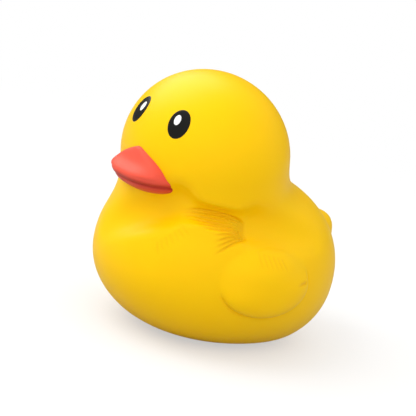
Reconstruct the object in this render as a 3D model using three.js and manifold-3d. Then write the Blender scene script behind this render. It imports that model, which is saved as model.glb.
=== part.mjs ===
// Squishy duck: one soft foam moulding with a painted bill and printed eyes, standing on a flat base.
// Millimetres. +Z is up, +X runs towards the bill and +Y is the duck's left.
// The origin is the middle of the base.
// The foam is slow to rise, so two thumb presses at the neck, and the folds drawn between them, still show.

import * as THREE from "three";
import { mergeVertices } from "three/addons/utils/BufferGeometryUtils.js";
import Module from "manifold-3d";

const { clamp, degToRad, lerp, smoothstep } = THREE.MathUtils;

// Body: a slightly squared egg with its chest pitched up
const BODY_FORWARD = 5.2; // body centre ahead of the middle of the base
const BODY_HEIGHT = 53.4; // body centre above the base
const CHEST_REACH = 96.8;
const RUMP_REACH = 87.2;
const BODY_HALF_WIDTH = 79.1;
const BACK_RISE = 70.7;
const BELLY_DROP = 62.1;
const BODY_SQUARENESS = 2.15; // 2 is a plain ellipsoid
const BODY_PITCH = degToRad(4.6);
const BASE_CUT = 2.4; // taken off the rounded underside to make the flat base
const BASE_EDGE = 14; // softness of the edge round the base

// Head: a ball, a little wider than it is deep
const HEAD_FORWARD = 34.7; // head centre ahead of the body centre
const HEAD_RISE = 77; // head centre above the body centre
const HEAD_HALF_WIDTH = 62.1;
const HEAD_REACH = 56.8;
const CROWN_RISE = 58;
const CHIN_DROP = 56;
const NECK_BLEND = 23.2;

// Tail: a short upturned tip
const TAIL_REACH = 38;
const TAIL_HALF_WIDTH = 26;
const TAIL_HALF_THICKNESS = 15;
const TAIL_TILT = degToRad(24);
const TAIL_SET_IN = 18; // tail centre inside the rump
const TAIL_RISE = 15; // tail centre above the body centre
const TAIL_BLEND = 20;

// Wings: oval pads on the flanks, seen from the body centre
const WING_AZIMUTH = degToRad(73.3);
const WING_ELEVATION = degToRad(5);
const WING_HALF_LENGTH = 35.2;
const WING_HALF_HEIGHT = 24.8;
const WING_PAD = 7.5; // how far a wing stands out
const WING_FULLNESS = 3.2; // of the pad at its lower and rear edges, where it is hardest
const WING_SOFTNESS = 1.15; // of the pad at its front and top, where it runs out into the body
const WING_HARD_SIDE = degToRad(-50); // middle of the hard edge, from straight back
const WING_HARD_FROM = -0.5; // cosines from that middle between which the edge turns from soft to hard
const WING_HARD_TO = 0.7;
const WING_ROOT = 4; // how far the pad reaches into the body
const WING_CREASE = 1; // how far its rim dips under the skin

// Thumb presses: soft troughs, deep at the tip by the neck and shallow at the heel, seen from the body centre
const PRESS_RADIUS = 11;
const PRESS_TIP_DEPTH = 9;
const PRESS_HEEL_DEPTH = 2.5;
const PRESS_BLEND = 9;
const CHEST_TIP = { azimuth: degToRad(21), elevation: degToRad(25) };
const CHEST_HEEL = { azimuth: degToRad(-12), elevation: degToRad(10) };
const FLANK_TIP = { azimuth: degToRad(61), elevation: degToRad(31) };
const FLANK_HEEL = { azimuth: degToRad(114), elevation: degToRad(20) };

// Gather: the hollow under the chin, where the foam is drawn in between the two presses
const GATHER_RADIUS = 5;
const GATHER_CHEST_DEPTH = 1;
const GATHER_FLANK_DEPTH = 1.5;
const GATHER_BLEND = 4;
const GATHER_CHEST = { azimuth: degToRad(24), elevation: degToRad(27) };
const GATHER_FLANK = { azimuth: degToRad(57), elevation: degToRad(30.4) };

// Folds: drawn between the two press tips, close together at the flank and fanned out at the chest
const FOLD_COUNT = 4;
const FOLD_DEPTH = 1.6;
const FOLD_HALF_WIDTH = 2.8;
const FOLD_BOW = degToRad(2); // how far the middle of a fold arches up
const FOLD_FLANK_SPREAD = degToRad(3.5); // between the top and bottom folds at the flank press
const FOLD_FLANK_LIFT = 0.25; // share of that spread above the tip of the press
const FOLD_CHEST_RISE = degToRad(4.5); // top fold above the chest press
const FOLD_CHEST_FALL = degToRad(8.5); // bottom fold below the chest press
const FOLD_SHORTENING = degToRad(20); // how much sooner the bottom fold ends than the top one
const FOLD_FADE_FROM = -0.1; // shares of a fold between which it grows from the chest
const FOLD_FADE_TO = 0.5;
const FOLD_STEPS = 12;

// Bill: a puffed upper half over a thinner lower half, built of level outlines above and below the mouth line
const BILL_TURN = degToRad(-3.2); // the squeeze has turned it to the duck's right
const BILL_HALF_WIDTH = 26.5;
const BILL_REACH = 11.3; // tip ahead of the face
const BILL_ROOT = 14.8; // axis of the outlines behind the face
const BILL_FLANK = 2.1; // how late the flanks close towards the apex
const BILL_WAIST = 2.4; // how far the flanks draw in halfway up
const BILL_SLOPE = 0.6; // how late the top falls back, and below 1 it is hollow
const BILL_HOLLOW = 0.8; // how much more hollow it is halfway up
const MOUTH_DROP = 19.1; // mouth line below the head centre
const MOUTH_OVERLAP = 1.6; // how far the two halves sink into each other behind the mouth line
const LIP_RISE = 3.7; // fullest outline above the mouth line
const LIP_TUCK = 2; // how far the lip draws in at the mouth line
const LIP_SQUARENESS = 2.5; // of the outline at the lip, with 2 for an ellipse
const FLANK_SQUARENESS = 2; // what the outlines halfway up add to that
const APEX_RISE = 22.6; // above the mouth line
const APEX_REACH = 3; // ahead of the face
const APEX_SQUARENESS = 2.2;
const APEX_ROUNDING = 6.3; // how late the top edge rounds over
const APEX_CLOSING = 30; // how late the outlines close at the apex
const LOWER_HALF_WIDTH = 25.4;
const LOWER_REACH = 8.1;
const LOWER_DEPTH = 8.5;
const LOWER_SQUARENESS = 2.15; // in section

// Eyes: upright ovals of print with a pale glint, seen from the head centre
const EYE_AZIMUTH = degToRad(23.1);
const EYE_ELEVATION = degToRad(25.3);
const EYE_HALF_WIDTH = 7.8;
const EYE_HALF_HEIGHT = 10.5;
const GLINT_HALF_WIDTH = 2.5;
const GLINT_HALF_HEIGHT = 3.8;
const GLINT_INWARD = 1.8;
const GLINT_UPWARD = 2.3;
const PRINT_FILM = 0.4; // thickness of a layer of print
const PRINT_ROOT = 2; // how far a layer of print reaches into the foam

// Skin: knots of the grid, with rows from the base to the crown and columns from tail round to tail
const ROW_KNOTS = [
  { row: 0, headward: 0, elevation: -90 },
  { row: 4, headward: 0, elevation: -56 },
  { row: 10, headward: 0, elevation: -14 },
  { row: 18, headward: 0, elevation: 14 },
  { row: 46, headward: 1, elevation: -14 },
  { row: 58, headward: 1, elevation: 90 },
];
const COLUMN_KNOTS = [
  { column: 0, azimuth: -180 },
  { column: 7, azimuth: -145 },
  { column: 25, azimuth: -14 },
  { column: 55, azimuth: 62 },
  { column: 67, azimuth: 145 },
  { column: 74, azimuth: 180 },
];

// Grids of the pieces on the skin
const WING_GRID = { columns: 40, rows: 12 };
const UPPER_GRID = { columns: 36, rows: 17, mouthRows: 1, lipRows: 4 };
const LOWER_GRID = { columns: 32, rows: 9, mouthRows: 1 };
const EYE_GRID = { columns: 24, rows: 6 };
const GLINT_GRID = { columns: 12, rows: 6 };

// Search for the skin along a ray
const RAY_STEP = 4;
const RAY_HALVINGS = 24;
const SLOPE_STEP = 0.05;

const bodyCentre = new THREE.Vector3(BODY_FORWARD, 0, BODY_HEIGHT);
const headCentre = new THREE.Vector3(HEAD_FORWARD, 0, HEAD_RISE).add(bodyCentre);
const tailCentre = new THREE.Vector3(TAIL_SET_IN - RUMP_REACH, 0, TAIL_RISE).add(bodyCentre);
const UPWARD = new THREE.Vector3(0, 0, 1);

// Smooth union of two distances, and the smooth intersection that mirrors it.
function softMin(a, b, blend) {
  const share = clamp(0.5 + (0.5 * (b - a)) / blend, 0, 1);
  return lerp(b, a, share) - blend * share * (1 - share);
}

function softMax(a, b, blend) {
  return -softMin(-a, -b, blend);
}

// Rough distance from a point to an egg with its own reach on each side of each axis.
function eggDistance(point, centre, pitch, ahead, behind, halfWidth, above, below, squareness) {
  const across = point.x - centre.x;
  const up = point.z - centre.z;
  const x = across * Math.cos(pitch) + up * Math.sin(pitch);
  const z = up * Math.cos(pitch) - across * Math.sin(pitch);
  const y = point.y - centre.y;
  const parts = [x / (x > 0 ? ahead : behind), y / halfWidth, z / (z > 0 ? above : below)];
  const size = parts.reduce((sum, part) => sum + Math.abs(part) ** squareness, 0) ** (1 / squareness);
  const nearest = Math.min(ahead, behind, halfWidth, above, below);
  return (size - 1) * Math.max(Math.hypot(x, y, z) / Math.max(size, 1e-6), nearest / 10);
}

// Distance to the duck before it was pressed: body, head and tail run into each other, over a flat base.
function plumpDistance(point) {
  const body = eggDistance(
    point, bodyCentre, BODY_PITCH,
    CHEST_REACH, RUMP_REACH, BODY_HALF_WIDTH, BACK_RISE, BELLY_DROP, BODY_SQUARENESS,
  );
  const head = eggDistance(
    point, headCentre, 0,
    HEAD_REACH, HEAD_REACH, HEAD_HALF_WIDTH, CROWN_RISE, CHIN_DROP, 2,
  );
  const tail = eggDistance(
    point, tailCentre, -TAIL_TILT,
    TAIL_REACH, TAIL_REACH, TAIL_HALF_WIDTH, TAIL_HALF_THICKNESS, TAIL_HALF_THICKNESS, 2,
  );
  const joined = softMin(softMin(body, tail, TAIL_BLEND), head, NECK_BLEND);
  return Math.max(softMax(joined, -BASE_CUT - point.z, BASE_EDGE), -point.z);
}

function direction(azimuth, elevation) {
  const level = Math.cos(elevation);
  return new THREE.Vector3(level * Math.cos(azimuth), level * Math.sin(azimuth), Math.sin(elevation));
}

// Where a ray from inside the form leaves it.
function exitPoint(distance, origin, heading) {
  let inside = 0;
  let outside = RAY_STEP;
  const at = (reach) => origin.clone().addScaledVector(heading, reach);
  while (distance(at(outside)) < 0) {
    inside = outside;
    outside += RAY_STEP;
  }
  for (let i = 0; i < RAY_HALVINGS; i++) {
    const middle = (inside + outside) / 2;
    if (distance(at(middle)) < 0) inside = middle;
    else outside = middle;
  }
  return at(inside);
}

function outwardNormal(distance, point) {
  const slope = (axis) => {
    const ahead = point.clone();
    const behind = point.clone();
    ahead[axis] += SLOPE_STEP;
    behind[axis] -= SLOPE_STEP;
    return distance(ahead) - distance(behind);
  };
  return new THREE.Vector3(slope("x"), slope("y"), slope("z")).normalize();
}

// A point on the unpressed skin, seen from the body centre.
function plumpPoint({ azimuth, elevation }) {
  return exitPoint(plumpDistance, bodyCentre, direction(azimuth, elevation));
}

// A trough to press into the skin: the ends of its axis lie outside the skin by the radius less the depth.
function trough(tip, tipDepth, heel, heelDepth, radius, blend) {
  const end = (place, depth) => {
    const touch = plumpPoint(place);
    return touch.addScaledVector(outwardNormal(plumpDistance, touch), radius - depth);
  };
  return { axis: new THREE.Line3(end(tip, tipDepth), end(heel, heelDepth)), radius, blend };
}

const troughs = [
  trough(CHEST_TIP, PRESS_TIP_DEPTH, CHEST_HEEL, PRESS_HEEL_DEPTH, PRESS_RADIUS, PRESS_BLEND),
  trough(FLANK_TIP, PRESS_TIP_DEPTH, FLANK_HEEL, PRESS_HEEL_DEPTH, PRESS_RADIUS, PRESS_BLEND),
  trough(GATHER_CHEST, GATHER_CHEST_DEPTH, GATHER_FLANK, GATHER_FLANK_DEPTH, GATHER_RADIUS, GATHER_BLEND),
];

function axisDistance(line, point) {
  return line.closestPointToPoint(point, true, new THREE.Vector3()).distanceTo(point);
}

// Distance to the pressed duck: the troughs are taken out with soft rims.
function pressedDistance(point) {
  const hollowed = troughs.reduce(
    (form, { axis, radius, blend }) => softMax(form, radius - axisDistance(axis, point), blend),
    plumpDistance(point),
  );
  return Math.max(hollowed, -point.z);
}

// One fold as short straight stretches on the pressed skin, from the chest press to the flank press.
function foldLine(index) {
  const down = index / (FOLD_COUNT - 1);
  const start = {
    azimuth: CHEST_TIP.azimuth + PRESS_RADIUS / CHEST_REACH + FOLD_SHORTENING * down ** 2,
    elevation: CHEST_TIP.elevation + lerp(FOLD_CHEST_RISE, -FOLD_CHEST_FALL, down),
  };
  const end = {
    azimuth: FLANK_TIP.azimuth - PRESS_RADIUS / BODY_HALF_WIDTH / 2,
    elevation: FLANK_TIP.elevation - FOLD_FLANK_SPREAD * (down - FOLD_FLANK_LIFT),
  };
  const pointAt = (along) => {
    const arch = 4 * along * (1 - along) * FOLD_BOW * (1 - down);
    const heading = direction(
      lerp(start.azimuth, end.azimuth, along),
      lerp(start.elevation, end.elevation, along) + arch,
    );
    return exitPoint(pressedDistance, bodyCentre, heading);
  };
  return Array.from(
    { length: FOLD_STEPS },
    (_, step) => new THREE.Line3(pointAt(step / FOLD_STEPS), pointAt((step + 1) / FOLD_STEPS)),
  );
}

const foldLines = Array.from({ length: FOLD_COUNT }, (_, index) => foldLine(index));

// How deep the folds cut at a point: each is a soft groove that fades out towards the chest.
function foldDepth(point) {
  const depths = foldLines.map((line) => {
    const gaps = line.map((stretch) => axisDistance(stretch, point));
    const gap = Math.min(...gaps);
    const strength = smoothstep(gaps.indexOf(gap) / FOLD_STEPS, FOLD_FADE_FROM, FOLD_FADE_TO);
    return FOLD_DEPTH * strength * Math.exp(-((gap / FOLD_HALF_WIDTH) ** 2));
  });
  return Math.max(...depths);
}

// Value of one field of a list of knots, straight between them.
function alongKnots(knots, key, place, field) {
  const next = Math.max(1, knots.findIndex((knot) => knot[key] >= place));
  const from = knots[next - 1];
  const to = knots[next];
  return lerp(from[field], to[field], (place - from[key]) / (to[key] - from[key]));
}

// A closed sheet wrapped over a point function of two shares: round, and from the first pole to the last.
function wrapped(columns, rows, pointAt) {
  const geometry = new THREE.SphereGeometry(1, columns, rows);
  const { position, uv } = geometry.attributes;
  for (let i = 0; i < position.count; i++) {
    const up = uv.getY(i);
    const atPole = up === 0 || up === 1;
    position.setXYZ(i, ...pointAt(atPole ? 0 : uv.getX(i) % 1, up));
  }
  geometry.deleteAttribute("normal");
  geometry.deleteAttribute("uv");
  return mergeVertices(geometry);
}

// The foam skin: rays from the body centre, then from a spine to the head centre, then from the head centre.
function skinGeometry() {
  const rows = ROW_KNOTS.at(-1).row;
  const columns = COLUMN_KNOTS.at(-1).column;
  return wrapped(columns, rows, (round, up) => {
    const row = up * rows;
    const azimuth = degToRad(alongKnots(COLUMN_KNOTS, "column", round * columns, "azimuth"));
    const elevation = degToRad(alongKnots(ROW_KNOTS, "row", row, "elevation"));
    const origin = bodyCentre.clone().lerp(headCentre, alongKnots(ROW_KNOTS, "row", row, "headward"));
    const point = exitPoint(pressedDistance, origin, direction(azimuth, elevation));
    point.addScaledVector(outwardNormal(pressedDistance, point), -foldDepth(point));
    point.z = Math.max(point.z, 0);
    return point;
  });
}

// The wing on one side: an oval pad that follows the pressed flank, full below and behind, thin in front.
function wingPad(side) {
  return wrapped(WING_GRID.columns, WING_GRID.rows, (round, up) => {
    const size = Math.min(Math.sin((1 - up) * Math.PI), 1);
    const angle = round * 2 * Math.PI;
    const back = size * Math.cos(angle) * side;
    const rise = size * Math.sin(angle);
    const azimuth = WING_AZIMUTH + (back * WING_HALF_LENGTH) / BODY_HALF_WIDTH;
    const elevation = WING_ELEVATION + (rise * WING_HALF_HEIGHT) / BODY_HALF_WIDTH;
    const onFlank = exitPoint(pressedDistance, bodyCentre, direction(side * azimuth, elevation));
    const facing = Math.cos(Math.atan2(rise, back) - WING_HARD_SIDE);
    const soft = (1 - size ** 2) ** WING_SOFTNESS;
    const hard = Math.sqrt(1 - size ** WING_FULLNESS);
    const crown = lerp(soft, hard, smoothstep(facing, WING_HARD_FROM, WING_HARD_TO));
    const height = up < 0.5 ? -WING_ROOT : (WING_PAD + WING_CREASE) * crown - WING_CREASE;
    return onFlank.addScaledVector(outwardNormal(pressedDistance, onFlank), height);
  });
}

// A point on a level outline of the bill, which is an oval about an upright axis behind the face.
function onOutline(round, halfWidth, reach, squareness, height) {
  const angle = round * 2 * Math.PI;
  const rounded = (value) => Math.sign(value) * Math.abs(value) ** (2 / squareness);
  const x = HEAD_REACH - BILL_ROOT + (BILL_ROOT + reach) * rounded(Math.cos(angle));
  const y = halfWidth * rounded(Math.sin(angle));
  return new THREE.Vector3(x, y, height - MOUTH_DROP).applyAxisAngle(UPWARD, BILL_TURN).add(headCentre);
}

// The upper half, from the middle of the mouth out under the lip, then up to the apex.
function upperBill() {
  const { columns, rows, mouthRows, lipRows } = UPPER_GRID;
  return wrapped(columns, rows, (round, up) => {
    const row = up * rows;
    const spread = Math.min(row / mouthRows, 1);
    const lift = clamp((row - mouthRows) / lipRows, 0, 1);
    const rise = Math.max(row - mouthRows - lipRows, 0) / (rows - mouthRows - lipRows);
    const climb = Math.sin(rise * (Math.PI / 2));
    const middle = 4 * climb * (1 - climb);
    const tuck = LIP_TUCK * (1 - lift) ** 2;
    const height = LIP_RISE * lift + (APEX_RISE - LIP_RISE) * climb - MOUTH_OVERLAP * (1 - spread);
    const halfWidth = BILL_HALF_WIDTH * (1 - climb ** BILL_FLANK) - BILL_WAIST * middle - tuck;
    const slope = lerp(BILL_REACH, APEX_REACH, climb ** BILL_SLOPE) - BILL_HOLLOW * middle;
    const reach = slope * Math.sqrt(1 - climb ** APEX_ROUNDING) - tuck;
    const squareness = lerp(LIP_SQUARENESS, APEX_SQUARENESS, climb) + FLANK_SQUARENESS * middle;
    const closing = Math.sqrt(1 - climb ** APEX_CLOSING) * spread;
    const closed = (BILL_ROOT + reach) * closing - BILL_ROOT;
    return onOutline(round, halfWidth * spread, closed, squareness, height);
  });
}

// The lower half, from the middle of its underside round to the middle of the mouth.
function lowerBill() {
  const { columns, rows, mouthRows } = LOWER_GRID;
  return wrapped(columns, rows, (round, up) => {
    const row = (1 - up) * rows;
    const spread = Math.min(row / mouthRows, 1);
    const turn = (Math.max(row - mouthRows, 0) / (rows - mouthRows)) * (Math.PI / 2);
    const out = Math.max(Math.cos(turn), 0) ** (2 / LOWER_SQUARENESS) * spread;
    const height = lerp(MOUTH_OVERLAP, -LOWER_DEPTH, Math.sin(turn) ** (2 / LOWER_SQUARENESS));
    const reach = (BILL_ROOT + LOWER_REACH) * out - BILL_ROOT;
    return onOutline(round, LOWER_HALF_WIDTH * out, reach, LIP_SQUARENESS, height);
  });
}

// A layer of print on the face: an oval that follows the head and roots in the foam.
function printedOval({ columns, rows }, side, halfWidth, halfHeight, inward, upward, film) {
  const middle = direction(side * EYE_AZIMUTH, EYE_ELEVATION);
  const outward = new THREE.Vector3(-Math.sin(EYE_AZIMUTH), Math.cos(EYE_AZIMUTH) * side, 0);
  const upright = new THREE.Vector3().crossVectors(middle, outward).multiplyScalar(side);
  const centre = exitPoint(plumpDistance, headCentre, middle);
  return wrapped(columns, rows, (round, up) => {
    const fromPole = (1 - up) * Math.PI;
    const spread = Math.sin(fromPole);
    const angle = round * 2 * Math.PI;
    const heading = centre.clone().sub(headCentre)
      .addScaledVector(outward, halfWidth * spread * Math.cos(angle) * side - inward)
      .addScaledVector(upright, halfHeight * spread * Math.sin(angle) + upward)
      .normalize();
    const onFace = exitPoint(plumpDistance, headCentre, heading);
    return onFace.addScaledVector(heading, up < 0.5 ? -PRINT_ROOT : film);
  });
}

const eye = (side) => printedOval(EYE_GRID, side, EYE_HALF_WIDTH, EYE_HALF_HEIGHT, 0, 0, PRINT_FILM);
const glint = (side) => printedOval(
  GLINT_GRID, side, GLINT_HALF_WIDTH, GLINT_HALF_HEIGHT, GLINT_INWARD, GLINT_UPWARD, 2 * PRINT_FILM,
);

const wasm = await Module();
wasm.setup();

function solid(geometry) {
  return new wasm.Manifold(
    new wasm.Mesh({
      numProp: 3,
      vertProperties: geometry.attributes.position.array,
      triVerts: new Uint32Array(geometry.index.array),
    }),
  ).asOriginal();
}

// One body from several closed geometries, with a group of faces for each one's finish.
function joined(pieces) {
  const solids = pieces.map(({ geometry }) => solid(geometry));
  const { vertProperties, triVerts, runIndex, runOriginalID } = solids.reduce((a, b) => a.add(b)).getMesh();
  const geometry = new THREE.BufferGeometry();
  geometry.setAttribute("position", new THREE.BufferAttribute(vertProperties, 3));
  geometry.setIndex(new THREE.BufferAttribute(triVerts, 1));
  runOriginalID.forEach((id, run) => {
    const piece = solids.findIndex((one) => one.originalID() === id);
    geometry.addGroup(runIndex[run], runIndex[run + 1] - runIndex[run], pieces[piece].finish);
  });
  geometry.computeVertexNormals();
  return geometry;
}

const FOAM = 0;
const BILL_PAINT = 1;
const EYE_PRINT = 2;
const GLINT_PRINT = 3;
const finishes = [
  new THREE.MeshStandardMaterial({ color: 0xfacb08, roughness: 0.55, metalness: 0 }),
  new THREE.MeshStandardMaterial({ color: 0xee5a45, roughness: 0.5, metalness: 0 }),
  new THREE.MeshStandardMaterial({ color: 0x1b1b18, roughness: 0.45, metalness: 0 }),
  new THREE.MeshStandardMaterial({ color: 0xf4f4f2, roughness: 0.45, metalness: 0 }),
];

const duck = new THREE.Mesh(
  joined([
    { geometry: skinGeometry(), finish: FOAM },
    { geometry: wingPad(1), finish: FOAM },
    { geometry: wingPad(-1), finish: FOAM },
    { geometry: upperBill(), finish: BILL_PAINT },
    { geometry: lowerBill(), finish: BILL_PAINT },
    { geometry: eye(1), finish: EYE_PRINT },
    { geometry: eye(-1), finish: EYE_PRINT },
    { geometry: glint(1), finish: GLINT_PRINT },
    { geometry: glint(-1), finish: GLINT_PRINT },
  ]),
  finishes,
);
duck.name = "squishy_duck";

const part = new THREE.Group();
part.add(duck);
export default part;
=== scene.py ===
"""Squishy duck: a slow-rising foam toy with a painted bill and printed eyes.

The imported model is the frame, and the pieces made here are the duck's finished surfaces. Sizes are in
millimetres and angles in degrees, and meshes are made in metres. +X runs towards the bill, +Y is the duck's
left, +Z is up, and the origin is the middle of the base.
"""

import logging
import math
from collections.abc import Callable
from dataclasses import dataclass
from enum import Enum
from functools import cached_property

import bmesh
import bpy
import numpy as np
from mathutils import Matrix, Vector
from mathutils.kdtree import KDTree


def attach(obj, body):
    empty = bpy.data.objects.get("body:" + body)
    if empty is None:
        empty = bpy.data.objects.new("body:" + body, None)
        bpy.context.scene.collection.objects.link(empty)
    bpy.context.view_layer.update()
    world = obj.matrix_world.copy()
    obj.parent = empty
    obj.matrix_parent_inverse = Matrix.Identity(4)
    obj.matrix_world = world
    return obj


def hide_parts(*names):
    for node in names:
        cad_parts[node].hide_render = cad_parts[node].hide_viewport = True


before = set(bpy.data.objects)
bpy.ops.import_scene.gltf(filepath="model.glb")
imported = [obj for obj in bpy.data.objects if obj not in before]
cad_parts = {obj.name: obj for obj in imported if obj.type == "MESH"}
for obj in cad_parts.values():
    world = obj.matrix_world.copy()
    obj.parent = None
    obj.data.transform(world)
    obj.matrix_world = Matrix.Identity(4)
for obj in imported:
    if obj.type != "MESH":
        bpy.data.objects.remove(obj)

Color = tuple[float, float, float, float]
Place = tuple[float, float, float]
PointRule = Callable[[np.ndarray], np.ndarray]  # gives a number or a point for each point

MM = 0.001
ROOT_BODY = "root"
DUCK_NODE = "squishy_duck"
PAINTED_SHADE_ATTRIBUTE = "fold"  # where shade is painted: a fold's depth in the foam, nearness to the mouth on the bill
NOISE_MIDDLE = 0.5
WHITE: Color = (1.0, 1.0, 1.0, 1.0)
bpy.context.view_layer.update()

log = logging.getLogger("duck")


class Slot(Enum):
    """The record's material slots."""

    FOAM = "yellow_foam"
    BILL = "bill_paint"
    EYE = "eye_print"
    GLINT = "glint_print"


class Side(Enum):
    """The two sides of the duck, as the sign of Y."""

    LEFT = 1
    RIGHT = -1


def linear(red: int, green: int, blue: int) -> Color:
    """Turn a colour seen on a screen into the linear one that a shader takes.

    Args:
        red: red, from 0 to 255.
        green: green, from 0 to 255.
        blue: blue, from 0 to 255.

    Returns:
        The linear colour, opaque.
    """
    shares = [value / 255 for value in (red, green, blue)]
    return (*[s / 12.92 if s <= 0.04045 else ((s + 0.055) / 1.055) ** 2.4 for s in shares], 1.0)


def smooth_step(values: np.ndarray, low: float, high: float) -> np.ndarray:
    """Rise smoothly from 0 at low to 1 at high."""
    share = np.clip((values - low) / (high - low), 0.0, 1.0)
    return share * share * (3.0 - 2.0 * share)


def soft_min(first: np.ndarray, second: np.ndarray, blend: float) -> np.ndarray:
    """Join two distances with a fillet.

    Args:
        first: distances to one form.
        second: distances to another form.
        blend: how far the fillet spreads.

    Returns:
        Distances to the joined form.
    """
    share = np.clip(0.5 + 0.5 * (second - first) / blend, 0.0, 1.0)
    return second + (first - second) * share - blend * share * (1.0 - share)


def soft_max(first: np.ndarray, second: np.ndarray, blend: float) -> np.ndarray:
    """Intersect two distances with a rounded edge."""
    return -soft_min(-first, -second, blend)


def headings(azimuth: np.ndarray, elevation: np.ndarray) -> np.ndarray:
    """Unit vectors for azimuths, from the bill towards the left, and elevations.

    Args:
        azimuth: azimuths in degrees.
        elevation: elevations in degrees.

    Returns:
        One row for each direction.
    """
    around = np.radians(azimuth)
    up = np.radians(elevation)
    level = np.cos(up)
    return np.stack([level * np.cos(around), level * np.sin(around), np.sin(up)], axis=-1)


def signed_power(values: np.ndarray, power: float | np.ndarray) -> np.ndarray:
    """Raise sizes to a power and keep their signs."""
    return np.sign(values) * np.abs(values) ** power


def mesh_object(name: str, points: np.ndarray, faces: list | np.ndarray) -> bpy.types.Object:
    """Make a smooth object with its place in its mesh and its faces pointing out.

    Args:
        name: the piece's name.
        points: its points in millimetres.
        faces: the points of each face.

    Returns:
        The new object, in the scene.
    """
    mesh = bpy.data.meshes.new(name)
    mesh.from_pydata((points * MM).tolist(), [], [list(face) for face in faces])
    work = bmesh.new()
    work.from_mesh(mesh)
    bmesh.ops.recalc_face_normals(work, faces=work.faces)
    work.to_mesh(mesh)
    work.free()
    mesh.polygons.foreach_set("use_smooth", np.ones(len(mesh.polygons), dtype=bool))
    mesh.update()
    thing = bpy.data.objects.new(name, mesh)
    bpy.context.scene.collection.objects.link(thing)
    return thing


def wrapped_sheet(
    columns: int, rows: int, point_at: Callable[[np.ndarray, np.ndarray], np.ndarray]
) -> tuple[np.ndarray, list[tuple[int, ...]]]:
    """Wrap a closed sheet over a function of two shares, with a pole at each end.

    Args:
        columns: faces round the sheet.
        rows: faces from the first pole to the last.
        point_at: gives points for shares round the sheet and along it.

    Returns:
        The points and the faces.
    """
    along, around = np.meshgrid(np.arange(1, rows) / rows, np.arange(columns) / columns, indexing="ij")
    rings = point_at(around.ravel(), along.ravel())
    poles = point_at(np.zeros(2), np.array([0.0, 1.0]))
    first, last = len(rings), len(rings) + 1
    faces: list[tuple[int, ...]] = []
    for column in range(columns):
        beside = (column + 1) % columns
        faces.append((first, beside, column))
        top = (rows - 2) * columns
        faces.append((last, top + column, top + beside))
        for row in range(rows - 2):
            low, high = row * columns, (row + 1) * columns
            faces.append((low + column, low + beside, high + beside, high + column))
    return np.vstack([rings, poles]), faces


def settle(thing: bpy.types.Object) -> None:
    """Turn an object and its modifiers into a plain mesh.

    Args:
        thing: the object.
    """
    graph = bpy.context.evaluated_depsgraph_get()
    made = bpy.data.meshes.new_from_object(thing.evaluated_get(graph))
    thing.modifiers.clear()
    thing.data = made


def dress(piece: bpy.types.Object, material: bpy.types.Material | None = None) -> None:
    """Give a piece its material and body.

    Args:
        piece: the finished piece.
        material: its material, unless its mesh has one already.
    """
    if material is not None:
        piece.data.materials.append(material)
    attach(piece, ROOT_BODY)
    log.info("%s: %d faces", piece.name, len(piece.data.polygons))


class Wire:
    """A node's output in an expression. Each operator adds a Math node to its tree."""

    def __init__(self, tree: "Tree", socket: bpy.types.NodeSocket) -> None:
        """Hold an output of a node in a tree."""
        self.tree = tree
        self.socket = socket

    def __add__(self, other: "Wire | float") -> "Wire":
        """Add."""
        return self.tree.math("ADD", self, other)

    def __radd__(self, other: float) -> "Wire":
        """Add to a number."""
        return self.tree.math("ADD", other, self)

    def __sub__(self, other: "Wire | float") -> "Wire":
        """Subtract."""
        return self.tree.math("SUBTRACT", self, other)

    def __rsub__(self, other: float) -> "Wire":
        """Subtract from a number."""
        return self.tree.math("SUBTRACT", other, self)

    def __mul__(self, other: "Wire | float") -> "Wire":
        """Multiply."""
        return self.tree.math("MULTIPLY", self, other)

    def __rmul__(self, other: float) -> "Wire":
        """Multiply a number."""
        return self.tree.math("MULTIPLY", other, self)

    def __truediv__(self, other: "Wire | float") -> "Wire":
        """Divide."""
        return self.tree.math("DIVIDE", self, other)

    def __pow__(self, other: "Wire | float") -> "Wire":
        """Raise to a power."""
        return self.tree.math("POWER", self, other)


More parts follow.
